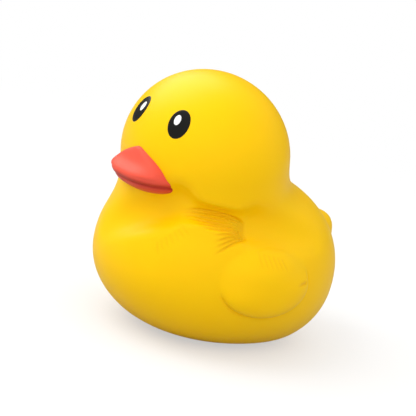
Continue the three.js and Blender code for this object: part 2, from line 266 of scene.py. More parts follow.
class Tree:
    """A node tree under construction, of shader or geometry nodes."""

    def __init__(self, nodes: bpy.types.NodeTree) -> None:
        """Hold an empty node tree."""
        self.nodes = nodes

    def node(self, kind: str, settings: dict | None = None, inputs: dict | None = None) -> bpy.types.Node:
        """Add a node.

        Args:
            kind: the node's type.
            settings: its properties, which are set first.
            inputs: values or wires for its input sockets, by name or identifier.

        Returns:
            The new node.
        """
        made = self.nodes.nodes.new(kind)
        for key, value in (settings or {}).items():
            setattr(made, key, value)
        for key, value in (inputs or {}).items():
            socket = self.input_of(made, key)
            if isinstance(value, Wire):
                self.nodes.links.new(value.socket, socket)
            else:
                socket.default_value = value
        return made

    @staticmethod
    def input_of(node: bpy.types.Node, key: str | int) -> bpy.types.NodeSocket:
        """Find a node's input by place, identifier or name.

        Args:
            node: the node.
            key: the input's index, identifier or name.

        Returns:
            The input socket.
        """
        if isinstance(key, int):
            return node.inputs[key]
        by_identifier = {socket.identifier: socket for socket in node.inputs}
        return by_identifier.get(key) or node.inputs[key]

    def wire(self, node: bpy.types.Node, name: str | int) -> Wire:
        """Take an output of a node, by name or index."""
        return Wire(self, node.outputs[name])

    def math(self, operation: str, *values: Wire | float) -> Wire:
        """Add a Math node.

        Args:
            operation: what it does.
            values: its inputs, in order.

        Returns:
            Its output.
        """
        made = self.node("ShaderNodeMath", {"operation": operation}, dict(enumerate(values)))
        return self.wire(made, 0)

    def clamped(self, value: Wire) -> Wire:
        """Hold a value between 0 and 1."""
        return self.math("MINIMUM", self.math("MAXIMUM", value, 0.0), 1.0)

    def mixed(self, share: Wire | float, first: Wire | tuple, second: Wire | tuple) -> Wire:
        """Mix two colours.

        Args:
            share: how much of the second colour.
            first: the first colour.
            second: the second colour.

        Returns:
            The mixed colour.
        """
        inputs = {"Factor_Float": share, "A_Color": first, "B_Color": second}
        made = self.node("ShaderNodeMix", {"data_type": "RGBA"}, inputs)
        return Wire(self, next(out for out in made.outputs if out.identifier == "Result_Color"))

    def noise(self, place: Wire, grain: float, detail: float = 2.0) -> Wire:
        """Add a noise pattern.

        Args:
            place: the coordinates, in metres.
            grain: the size of its lumps in millimetres.
            detail: how many finer patterns it adds.

        Returns:
            Values about 0.5.
        """
        inputs = {"Vector": place, "Scale": 1 / (grain * MM), "Detail": detail}
        return self.wire(self.node("ShaderNodeTexNoise", None, inputs), 0)

    def object_place(self) -> Wire:
        """Coordinates of the object, in metres."""
        return self.wire(self.node("ShaderNodeTexCoord"), "Object")


def shader_tree(name: str) -> tuple[bpy.types.Material, Tree, bpy.types.Node]:
    """Start a material.

    Args:
        name: the material's name.

    Returns:
        The material, its tree with only an output, and the output node.
    """
    material = bpy.data.materials.new(name)
    material.use_nodes = True
    material.node_tree.nodes.clear()
    tree = Tree(material.node_tree)
    return material, tree, tree.node("ShaderNodeOutputMaterial")


@dataclass(frozen=True)
class SkinFinish:
    """A satin skin with faint mottling, pores and painted shade where asked, for the foam and for the paint
    and print on it.
    """

    name: str
    color: Color
    shade: Color  # towards which the mottling goes
    roughness: float
    gloss: float = 0.3
    mottle: float = 0.25
    mottle_from: float = 0.35  # clouds fainter than this leave the colour alone
    mottle_grain: float = 26.0
    mottle_detail: float = 3.0
    mottle_roughness: float = 0.08
    pore_grain: float = 0.9
    pore_detail: float = 2.0
    pore_depth: float = 0.03
    pore_strength: float = 0.5
    pore_mottle: float = 0.12  # what the pores add to the mottling, as a share of it
    pore_roughness: float = 0.06
    subsurface: float = 0.0
    subsurface_reach: float = 4.0
    subsurface_shares: tuple[float, float, float] = (1.0, 0.55, 0.12)  # for red, green and blue
    painted_shade_strength: float = 0.0  # painted shade: how far a unit of the shade attribute takes the colour towards the darker colour below
    # the darker colour of the painted shade
    painted_shade_color: Color = linear(198, 98, 0)

    def material(self) -> bpy.types.Material:
        """Build the material's nodes.

        Returns:
            The material.
        """
        material, tree, output = shader_tree(self.name)
        place = tree.object_place()
        cloud = tree.noise(place, self.mottle_grain, self.mottle_detail)
        speck = tree.noise(place, self.pore_grain, self.pore_detail)
        shade = self.mottle * (cloud - self.mottle_from) + self.pore_mottle * self.mottle * speck
        tone = tree.mixed(tree.clamped(shade), self.color, self.shade)
        # painted shade: the colour darkens where the shade attribute marks folds or the mouth line
        if self.painted_shade_strength:
            painted_shade = tree.wire(tree.node("ShaderNodeAttribute", {"attribute_name": PAINTED_SHADE_ATTRIBUTE}), "Fac")
            tone = tree.mixed(tree.clamped(self.painted_shade_strength * painted_shade), tone, self.painted_shade_color)
        roughness = self.roughness + self.mottle_roughness * (cloud - NOISE_MIDDLE)
        roughness = roughness + self.pore_roughness * (speck - NOISE_MIDDLE)
        bump = tree.node("ShaderNodeBump", None, {
            "Strength": self.pore_strength,
            "Distance": self.pore_depth * MM,
            "Height": speck,
        })
        inputs = {
            "Base Color": tone,
            "Roughness": roughness,
            "Normal": tree.wire(bump, "Normal"),
            "Specular IOR Level": self.gloss,
            "Subsurface Weight": self.subsurface,
            "Subsurface Radius": self.subsurface_shares,
            "Subsurface Scale": self.subsurface_reach * MM,
        }
        skin = tree.node("ShaderNodeBsdfPrincipled", None, inputs)
        tree.nodes.links.new(skin.outputs["BSDF"], output.inputs["Surface"])
        return material


@dataclass(frozen=True)
class FloorFinish:
    """A white floor that keeps the shadow near the duck and runs out into plain white."""

    color: Color = linear(244, 244, 244)
    cloud_color: Color = linear(226, 226, 226)
    cloud_share: float = 0.04
    cloud_grain: float = 60.0
    bounce: Color = linear(186, 186, 186)  # as every ray but the camera's finds it
    near_glow: float = 0.5
    fade_from: float = 300.0
    fade_to: float = 900.0

    def material(self) -> bpy.types.Material:
        """Build the material's nodes.

        Returns:
            The material.
        """
        material, tree, output = shader_tree("white_floor")
        place = tree.object_place()
        distance = tree.wire(tree.node("ShaderNodeVectorMath", {"operation": "LENGTH"}, {0: place}), "Value")
        inputs = {
            "Value": distance,
            "From Min": self.fade_from * MM,
            "From Max": self.fade_to * MM,
            "To Min": self.near_glow,
            "To Max": 1.0,
        }
        glow = tree.wire(tree.node("ShaderNodeMapRange", None, inputs), 0)
        seen = tree.wire(tree.node("ShaderNodeLightPath"), "Is Camera Ray")
        cloud = tree.noise(place, self.cloud_grain)
        shown = tree.mixed(self.cloud_share * cloud, self.color, self.cloud_color)
        tone = tree.mixed(seen, self.bounce, shown)
        matte = tree.node("ShaderNodeBsdfDiffuse", None, {"Color": tone})
        white = tree.node("ShaderNodeEmission", None, {"Color": WHITE, "Strength": 1.0})
        surface = tree.node("ShaderNodeMixShader", None, {
            0: seen * glow,
            1: tree.wire(matte, 0),
            2: tree.wire(white, 0),
        })
        tree.nodes.links.new(surface.outputs[0], output.inputs["Surface"])
        return material


@dataclass(frozen=True)
class Egg:
    """A rounded lump with its own reach on each side of each axis."""

    centre: Place
    ahead: float
    behind: float
    half_width: float
    above: float
    below: float
    pitch: float = 0.0  # positive lifts the front
    squareness: float = 2.0  # 2 is a plain ellipsoid
    least_size: float = 1e-6  # keeps the centre from dividing by nothing
    core: float = 10.0  # the scale near the centre is the reach below, divided by this

    def distance(self, points: np.ndarray) -> np.ndarray:
        """Rough distances from points to the lump, below zero inside.

        Args:
            points: one row for each point.

        Returns:
            One distance for each point.
        """
        offset = points - np.array(self.centre)
        turn = math.radians(self.pitch)
        x = offset[:, 0] * math.cos(turn) + offset[:, 2] * math.sin(turn)
        z = offset[:, 2] * math.cos(turn) - offset[:, 0] * math.sin(turn)
        y = offset[:, 1]
        parts = np.stack([
            x / np.where(x > 0, self.ahead, self.behind),
            y / self.half_width,
            z / np.where(z > 0, self.above, self.below),
        ])
        size = (np.abs(parts) ** self.squareness).sum(axis=0) ** (1 / self.squareness)
        reach = np.linalg.norm(offset, axis=1) / np.maximum(size, self.least_size)
        return (size - 1.0) * np.maximum(reach, self.below / self.core)


@dataclass(frozen=True)
class Spot:
    """A place on the skin, seen from the body centre."""

    azimuth: float
    elevation: float

    def towards(self, other: "Spot", share: float | np.ndarray) -> tuple[np.ndarray, np.ndarray]:
        """Azimuth and elevation on the way to another spot."""
        azimuth = self.azimuth + (other.azimuth - self.azimuth) * share
        return azimuth, self.elevation + (other.elevation - self.elevation) * share


@dataclass(frozen=True)
class Press:
    """A soft trough pressed into the foam, deep at its tip and shallow at its heel."""

    tip: Spot
    heel: Spot
    radius: float = 11.0
    tip_depth: float = 9.0
    heel_depth: float = 0.5
    blend: float = 9.0


@dataclass(frozen=True)
class Wing:
    """An oval pad on the flank, crisp at its lower rear edge and soft at its upper front."""

    centre: Spot = Spot(73.3, 5.0)
    half_length: float = 35.2
    half_height: float = 24.8
    pad: float = 7.5
    hard_fullness: float = 3.2
    hard_side: float = -72.0  # middle of the crisp edge, from straight back
    crisp_from: float = -0.35  # cosine of the angle from there at which the edge starts to be crisp
    crisp_to: float = 0.6  # the cosine at which it is wholly crisp
    soft_power: float = 1.15
    crease_depth: float = 0.7
    crease_half_width: float = 1.1


@dataclass
class FoamForm:
    """The duck's smooth form: body, head and tail run together, pressed at the neck, with raised wings."""

    body: Egg = Egg((5.2, 0.0, 53.4), 96.8, 87.2, 79.1, 70.7, 62.1, pitch=4.6, squareness=2.15)
    head: Egg = Egg((39.9, 0.0, 130.4), 56.8, 56.8, 62.1, 58.0, 56.0)
    tail: Egg = Egg((-64.0, 0.0, 68.4), 38.0, 38.0, 26.0, 15.0, 15.0, pitch=-24.0)
    neck_blend: float = 23.2
    tail_blend: float = 20.0
    base_cut: float = 2.4
    base_edge: float = 14.0
    presses: tuple[Press, ...] = (
        Press(Spot(21.0, 30.0), Spot(-12.0, 11.0)),
        Press(Spot(61.0, 31.0), Spot(104.0, 27.0)),
        Press(Spot(22.0, 29.5), Spot(58.0, 31.0), radius=6.0, tip_depth=3.0, heel_depth=3.0, blend=5.0),
    )
    wing: Wing = Wing()
    heart: Place = (25.0, 0.0, 95.0)  # every point of the skin is in sight of it
    ray_start: float = 20.0
    ray_step: float = 5.0
    ray_halvings: int = 22
    slope_step: float = 0.05

    def plump(self, points: np.ndarray) -> np.ndarray:
        """Distances to the form before it was pressed.

        Args:
            points: one row for each point.

        Returns:
            One distance for each point.
        """
        rear = soft_min(self.body.distance(points), self.tail.distance(points), self.tail_blend)
        whole = soft_min(rear, self.head.distance(points), self.neck_blend)
        return np.maximum(soft_max(whole, -self.base_cut - points[:, 2], self.base_edge), -points[:, 2])

    def pressed(self, points: np.ndarray) -> np.ndarray:
        """Distances to the form with the presses taken out.

        Args:
            points: one row for each point.

        Returns:
            One distance for each point.
        """
        form = self.plump(points)
        for press, (tip, heel) in zip(self.presses, self.press_axes):
            run = heel - tip
            share = np.clip((points - tip) @ run / (run @ run), 0.0, 1.0)
            gap = np.linalg.norm(points - tip - share[:, None] * run, axis=1)
            form = soft_max(form, press.radius - gap, press.blend)
        return np.maximum(form, -points[:, 2])

    def finished(self, points: np.ndarray) -> np.ndarray:
        """Distances to the form with its wings."""
        return np.maximum(self.pressed(points) - self.wing_height(points), -points[:, 2])

    def wing_place(self, points: np.ndarray) -> tuple[np.ndarray, np.ndarray]:
        """Where points lie on a wing.

        Args:
            points: one row for each point.

        Returns:
            How far out each lies, with 1 at the rim, and how crisp the rim is on that side.
        """
        wing = self.wing
        offset = points - np.array(self.body.centre)
        azimuth = np.arctan2(np.abs(offset[:, 1]), offset[:, 0]) - math.radians(wing.centre.azimuth)
        level = np.hypot(offset[:, 0], offset[:, 1])
        elevation = np.arctan2(offset[:, 2], level) - math.radians(wing.centre.elevation)
        back = azimuth * self.body.half_width / wing.half_length
        rise = elevation * self.body.half_width / wing.half_height
        angle = np.arctan2(rise, back) - math.radians(wing.hard_side)
        return np.hypot(back, rise), smooth_step(np.cos(angle), wing.crisp_from, wing.crisp_to)

    def wing_height(self, points: np.ndarray) -> np.ndarray:
        """How far the wings lift the skin at points.

        Args:
            points: one row for each point.

        Returns:
            One height for each point.
        """
        wing = self.wing
        size, crisp = self.wing_place(points)
        inside = np.minimum(size, 1.0)
        hard = np.sqrt(1.0 - inside**wing.hard_fullness)
        soft = (1.0 - inside**2) ** wing.soft_power
        rim = (size - 1.0) * wing.half_height / wing.crease_half_width
        crease = wing.crease_depth * crisp * np.exp(-(rim**2))
        return wing.pad * (soft + (hard - soft) * crisp) - crease

    @cached_property
    def press_axes(self) -> list[tuple[np.ndarray, np.ndarray]]:
        """Where the presses' axes run, outside the skin by a press's radius less its depth.

        Returns:
            The two ends of each axis.
        """
        axes = []
        for press in self.presses:
            spots = ((press.tip, press.tip_depth), (press.heel, press.heel_depth))
            ends = []
            for spot, depth in spots:
                touch = self.leave(self.plump, self.body.centre, headings(spot.azimuth, spot.elevation)[None])
                ends.append((touch + self.normals(self.plump, touch) * (press.radius - depth))[0])
            axes.append((ends[0], ends[1]))
        return axes

    def leave(self, distance: PointRule, origin: Place, ways: np.ndarray) -> np.ndarray:
        """Where rays from inside a form leave it.

        Args:
            distance: the form's distances.
            origin: where the rays start.
            ways: one unit vector for each ray.

        Returns:
            One point for each ray.
        """
        start = np.array(origin)
        inside = np.zeros(len(ways))
        outside = np.full(len(ways), self.ray_start)
        going = np.arange(len(ways))
        while len(going):
            still = distance(start + ways[going] * outside[going, None]) < 0
            going = going[still]
            inside[going] = outside[going]
            outside[going] += self.ray_step
        for _ in range(self.ray_halvings):
            middle = (inside + outside) / 2
            within = distance(start + ways * middle[:, None]) < 0
            inside = np.where(within, middle, inside)
            outside = np.where(within, outside, middle)
        return start + ways * inside[:, None]

    def on_skin(self, points: np.ndarray) -> np.ndarray:
        """Move points along their rays from the heart onto the finished skin."""
        ways = points - np.array(self.heart)
        return self.leave(self.finished, self.heart, ways / np.linalg.norm(ways, axis=1)[:, None])

    def normals(self, distance: PointRule, points: np.ndarray) -> np.ndarray:
        """Outward normals of a form.

        Args:
            distance: the form's distances.
            points: points on it.

        Returns:
            One unit vector for each point.
        """
        steps = np.eye(3) * self.slope_step
        slopes = np.stack([distance(points + step) - distance(points - step) for step in steps], axis=-1)
        return slopes / np.linalg.norm(slopes, axis=1)[:, None]


@dataclass(frozen=True)
class FoldFan:
    """A fan of folds between two edges, each given by its first and last end."""

    count: int
    root_first: Spot
    root_last: Spot
    end_first: Spot
    end_last: Spot
    depth: float
    half_width: float
    bow_first: float = 0.0
    bow_last: float = 0.0
    shortening: float = 1.0  # above 1, the ends draw in late
    opening: tuple[float, float] = (-0.02, 0.12)  # shares of its length between which a fold deepens
    closing: tuple[float, float] = (0.0, 0.55)  # shares, from its far end, between which it dies out
    steps: int = 40

    def lines(self, form: FoamForm) -> list[np.ndarray]:
        """The folds' lines on the skin.

        Args:
            form: the duck's form.

        Returns:
            The points of each line.
        """
        made = []
        for index in range(self.count):
            share = index / max(self.count - 1, 1)
            root = Spot(*self.root_first.towards(self.root_last, share))
            end_azimuth, _ = self.end_first.towards(self.end_last, share**self.shortening)
            _, end_elevation = self.end_first.towards(self.end_last, share)
            along = np.linspace(0.0, 1.0, self.steps)
            azimuth, elevation = root.towards(Spot(end_azimuth, end_elevation), along)
            bow = self.bow_first + (self.bow_last - self.bow_first) * share
            ways = headings(azimuth, elevation + 4 * bow * along * (1 - along))
            made.append(form.leave(form.finished, form.body.centre, ways))
        return made

    def depths(self) -> np.ndarray:
        """How deep a fold is along its line: it starts at once and dies out slowly."""
        along = np.linspace(0.0, 1.0, self.steps)
        return self.depth * smooth_step(along, *self.opening) * smooth_step(1.0 - along, *self.closing)


class FoldTree:
    """Geometry nodes that sink folds into a skin along lines that lie on it, and keep their depth for painted
    shade.
    """

    DEPTH = "fold_depth"
    WIDTH = "fold_half_width"
    GROOVE_POWER = 1.5  # 2 would give a bell-shaped groove, and less a sharper one

    def __init__(self) -> None:
        """Build the tree, with named inputs."""
        self.group = bpy.data.node_groups.new("gathered_folds", "GeometryNodeTree")
        kinds = {"Skin": "Geometry", "Fold Lines": "Object", "Foam": "Material", "Strength": "Float"}
        for name, kind in kinds.items():
            self.group.interface.new_socket(name, in_out="INPUT", socket_type=f"NodeSocket{kind}")
        self.group.interface.new_socket("Folded Skin", in_out="OUTPUT", socket_type="NodeSocketGeometry")
        tree = Tree(self.group)
        given = tree.node("NodeGroupInput")
        info = tree.node("GeometryNodeObjectInfo", None, {"Object": tree.wire(given, "Fold Lines")})
        lines = tree.wire(info, "Geometry")
        near = tree.node("GeometryNodeProximity", {"target_element": "EDGES"}, {0: lines})
        nearest = tree.node("GeometryNodeSampleNearest", {"domain": "POINT"}, {"Geometry": lines})
        depth = self.sampled(tree, lines, tree.wire(nearest, "Index"), self.DEPTH)
        width = self.sampled(tree, lines, tree.wire(nearest, "Index"), self.WIDTH)
        spread = tree.wire(near, "Distance") / width
        groove = tree.math("EXPONENT", 0.0 - spread**self.GROOVE_POWER)
        sink = depth * groove * tree.wire(given, "Strength")
        normal = tree.wire(tree.node("GeometryNodeInputNormal"), "Normal")
        offset = tree.node("ShaderNodeVectorMath", {"operation": "SCALE"}, {0: normal, "Scale": 0.0 - sink})
        moved = tree.node("GeometryNodeSetPosition", None, {
            "Geometry": tree.wire(given, "Skin"),
            "Offset": tree.wire(offset, "Vector"),
        })
        # keep each point's fold depth in millimetres, which the foam's material paints as shade in the folds
        stored = tree.node("GeometryNodeStoreNamedAttribute", {"data_type": "FLOAT", "domain": "POINT"}, {
            "Geometry": tree.wire(moved, "Geometry"),
            "Name": PAINTED_SHADE_ATTRIBUTE,
            "Value": sink * (1 / MM),
        })
        whole = tree.node("GeometryNodeRealizeInstances", None, {"Geometry": tree.wire(stored, "Geometry")})
        painted = tree.node("GeometryNodeSetMaterial", None, {
            "Geometry": tree.wire(whole, "Geometry"),
            "Material": tree.wire(given, "Foam"),
        })
        tree.node("NodeGroupOutput", None, {"Folded Skin": tree.wire(painted, "Geometry")})

    @staticmethod
    def sampled(tree: Tree, lines: Wire, index: Wire, name: str) -> Wire:
        """Read a value of the fold lines at an index.

        Args:
            tree: the tree.
            lines: the fold lines.
            index: which point of them.
            name: the value's name.

        Returns:
            The value.
        """
        value = tree.node("GeometryNodeInputNamedAttribute", {"data_type": "FLOAT"}, {"Name": name})
        inputs = {"Geometry": lines, "Value": tree.wire(value, "Attribute"), "Index": index}
        made = tree.node("GeometryNodeSampleIndex", {"data_type": "FLOAT", "domain": "POINT"}, inputs)
        return tree.wire(made, "Value")

    def apply(
        self, skin: bpy.types.Object, lines: bpy.types.Object, foam: bpy.types.Material, strength: float
    ) -> None:
        """Sink the folds into a skin and leave a plain mesh.

        Args:
            skin: the skin's object.
            lines: the fold lines' object.
            foam: the skin's material.
            strength: share of the folds' depth.
        """
        modifier = skin.modifiers.new("folds", "NODES")
        modifier.node_group = self.group
        values = {"Fold Lines": lines, "Foam": foam, "Strength": strength}
        for item in self.group.interface.items_tree:
            if item.in_out == "INPUT" and item.name in values:
                modifier[item.identifier] = values[item.name]
        settle(skin)


def turned(rows: np.ndarray, start: np.ndarray) -> np.ndarray:
    """Turn each row of three so that it starts at its own place."""
    return np.take_along_axis(rows, (start[:, None] + np.arange(3)) % 3, axis=1)


def split_long_edges(
    points: np.ndarray,
    faces: np.ndarray,
    limit: PointRule,
    place: PointRule,
) -> tuple[np.ndarray, np.ndarray, int]:
    """Halve each edge that is too long, and part the triangles beside it to match.

    Args:
        points: the mesh's points.
        faces: its triangles.
        limit: gives the longest edge allowed about each midpoint.
        place: puts new points on the surface.

    Returns:
        The new points, the new triangles and how many edges were halved.
    """
    pairs = np.sort(faces[:, [0, 1, 1, 2, 2, 0]].reshape(-1, 2), axis=1)
    ends, which = np.unique(pairs, axis=0, return_inverse=True)
    middles = points[ends].mean(axis=1)
    lengths = np.linalg.norm(points[ends[:, 0]] - points[ends[:, 1]], axis=1)
    long = lengths > limit(middles)
    number = np.full(len(ends), -1)
    number[long] = len(points) + np.arange(long.sum())
    points = np.vstack([points, place(middles[long])])
    cuts = number[which.reshape(-1)].reshape(-1, 3)
    counts = (cuts >= 0).sum(axis=1)

    def corners(amount: int, start: np.ndarray) -> tuple[np.ndarray, ...]:
        """The corners and cuts of the triangles with an amount of cuts, as columns."""
        chosen = counts == amount
        return (*turned(faces[chosen], start[chosen]).T, *turned(cuts[chosen], start[chosen]).T)

    a, b, c, m, _, _ = corners(1, np.argmax(cuts >= 0, axis=1))
    ones = [(a, m, c), (m, b, c)]
    a, b, c, m, n, _ = corners(2, (np.argmin(cuts >= 0, axis=1) + 1) % 3)
    short = np.linalg.norm(points[a] - points[n], axis=1) < np.linalg.norm(points[m] - points[c], axis=1)
    twos = [(m, b, n), (a, m, np.where(short, n, c)), (np.where(short, a, m), n, c)]
    a, b, c, m, n, o = corners(3, np.zeros(len(faces), dtype=int))
    threes = [(a, m, o), (m, b, n), (o, n, c), (m, n, o)]
    parts = [np.stack(part, axis=1) for part in (*ones, *twos, *threes)]
    return points, np.vstack([faces[counts == 0], *parts]), int(long.sum())


@dataclass
class FoamSkin:
    """The yellow foam skin, with folds drawn together between the two presses."""

    form: FoamForm
    finish: SkinFinish = SkinFinish(
        "yellow_foam",
        linear(251, 199, 0),
        linear(246, 182, 0),
        roughness=0.4,
        gloss=0.12,
        subsurface=0.15,
        # painted shade in the folds: half the way to the darker orange for each millimetre of depth
        painted_shade_strength=0.5,
    )
    fans: tuple[FoldFan, ...] = (
        # the deep gathers between the presses
        FoldFan(
            6, Spot(56.5, 32.6), Spot(56.5, 28.8), Spot(20.0, 29.4), Spot(33.0, 24.6),
            depth=2.4, half_width=0.85, bow_first=2.4, shortening=2.0,
        ),
        # the gathers that run down from them over the chest
        FoldFan(
            4, Spot(56.5, 28.0), Spot(58.0, 26.0), Spot(40.0, 22.8), Spot(42.0, 13.8),
            depth=1.7, half_width=0.9, bow_last=1.0,
        ),
        # faint lines at the top of the wing
        FoldFan(
            6, Spot(63.8, 20.4), Spot(77.0, 18.0), Spot(66.8, 10.5), Spot(81.0, 10.5),
            depth=0.22, half_width=0.8,
        ),
        # faint lines below the press on the chest
        FoldFan(
            7, Spot(26.0, 23.0), Spot(18.0, 14.0), Spot(31.0, 20.0), Spot(21.0, 8.0),
            depth=0.2, half_width=0.9,
        ),
        # a short nick in the wing
        FoldFan(
            1, Spot(95.5, 6.1), Spot(95.5, 6.1), Spot(87.0, 5.2), Spot(87.0, 5.2),
            depth=0.8, half_width=1.0,
        ),
    )
    coarse_edge: float = 3.4
    fine_edge: float = 0.62
    growth: float = 0.3  # how fast edges lengthen away from what is fine
    fine_reach: float = 2.0  # how far the finest edges go from a fold
    rim_place: float = 0.97  # of the finest edges at a wing, with 1 at its rim
    rim_reach: float = 1.0  # how far the finest edges go from there
    soft_rim_gap: float = 30.0  # how much further off a soft rim counts as
    crisp_enough: float = 0.5  # how crisp a rim is once it counts in full
    slack: float = 1.35  # how far an edge may pass its length before it is halved
    ball_divisions: int = 6  # of the ball that the first triangles come from
    ball_radius: float = 60.0
    rounds: int = 8
    relax_rounds: int = 3
    fill: float = 0.95

    def build(self) -> bpy.types.Object:
        """Make the skin.

        Returns:
            The finished piece.
        """
        lines = [line for fan in self.fans for line in fan.lines(self.form)]
        points, faces = self.refined(np.vstack(lines))
        skin = mesh_object("foam_skin", points, faces)
        guide = self.guide(lines)
        FoldTree().apply(skin, guide, self.finish.material(), 1.0)
        bpy.data.objects.remove(guide)
        dress(skin)
        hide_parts(DUCK_NODE)
        return skin

    def guide(self, lines: list[np.ndarray]) -> bpy.types.Object:
        """Make the fold lines an object of edges, with the folds' depth and width on its points.

        Args:
            lines: the points of each line.

        Returns:
            The guide.
        """
        edges = []
        start = 0
        for line in lines:
            edges += [(start + i, start + i + 1) for i in range(len(line) - 1)]
            start += len(line)
        mesh = bpy.data.meshes.new("fold_lines")
        mesh.from_pydata((np.vstack(lines) * MM).tolist(), edges, [])
        depths = np.concatenate([np.tile(fan.depths(), fan.count) for fan in self.fans])
        widths = np.concatenate([np.full(fan.count * fan.steps, fan.half_width) for fan in self.fans])
        for name, values in ((FoldTree.DEPTH, depths), (FoldTree.WIDTH, widths)):
            mesh.attributes.new(name, "FLOAT", "POINT").data.foreach_set("value", values * MM)
        guide = bpy.data.objects.new("fold_lines", mesh)
        bpy.context.scene.collection.objects.link(guide)
        return guide

    def refined(self, folds: np.ndarray) -> tuple[np.ndarray, np.ndarray]:
        """Triangles on the form, fine at the folds and at the wings' crisp edges.

        Args:
            folds: points of the fold lines.

        Returns:
            The points and the triangles.
        """
        tree = KDTree(len(folds))
        for index, point in enumerate(folds):
            tree.insert(point, index)
        tree.balance()

        def limit(middles: np.ndarray) -> np.ndarray:
            """How long edges may be before they are halved.

            Args:
                middles: the edges' middles.

            Returns:
                One length for each edge.
            """
            to_fold = np.array([tree.find(middle)[2] for middle in middles]) - self.fine_reach
            size, crisp = self.form.wing_place(middles)
            to_rim = np.abs(size - self.rim_place) * self.form.wing.half_height - self.rim_reach
            to_rim = to_rim + self.soft_rim_gap * (1.0 - smooth_step(crisp, 0.0, self.crisp_enough))
            gap = np.maximum(np.minimum(to_fold, to_rim), 0.0)
            return np.minimum(self.fine_edge + self.growth * gap, self.coarse_edge) * self.slack

        work = bmesh.new()
        bmesh.ops.create_icosphere(work, subdivisions=self.ball_divisions, radius=self.ball_radius)
        points = self.form.on_skin(np.array([vert.co[:] for vert in work.verts]) + np.array(self.form.heart))
        faces = np.array([[vert.index for vert in face.verts] for face in work.faces])
        work.free()
        for _ in range(self.rounds):
            points, faces, halved = split_long_edges(points, faces, limit, self.form.on_skin)
            if not halved:
                break
        for _ in range(self.relax_rounds):
            points = self.form.on_skin(self.relaxed(points, faces))
        return points, faces

    @staticmethod
    def relaxed(points: np.ndarray, faces: np.ndarray) -> np.ndarray:
        """Move points half way to the middle of their neighbours.

        Args:
            points: the mesh's points.
            faces: its triangles.

        Returns:
            The moved points.
        """
        start = faces[:, [0, 1, 2]].ravel()
        end = faces[:, [1, 2, 0]].ravel()
        counts = np.bincount(start, minlength=len(points))
        sums = [np.bincount(start, weights=points[end, axis], minlength=len(points)) for axis in range(3)]
        return (points + np.stack(sums, axis=1) / counts[:, None]) / 2


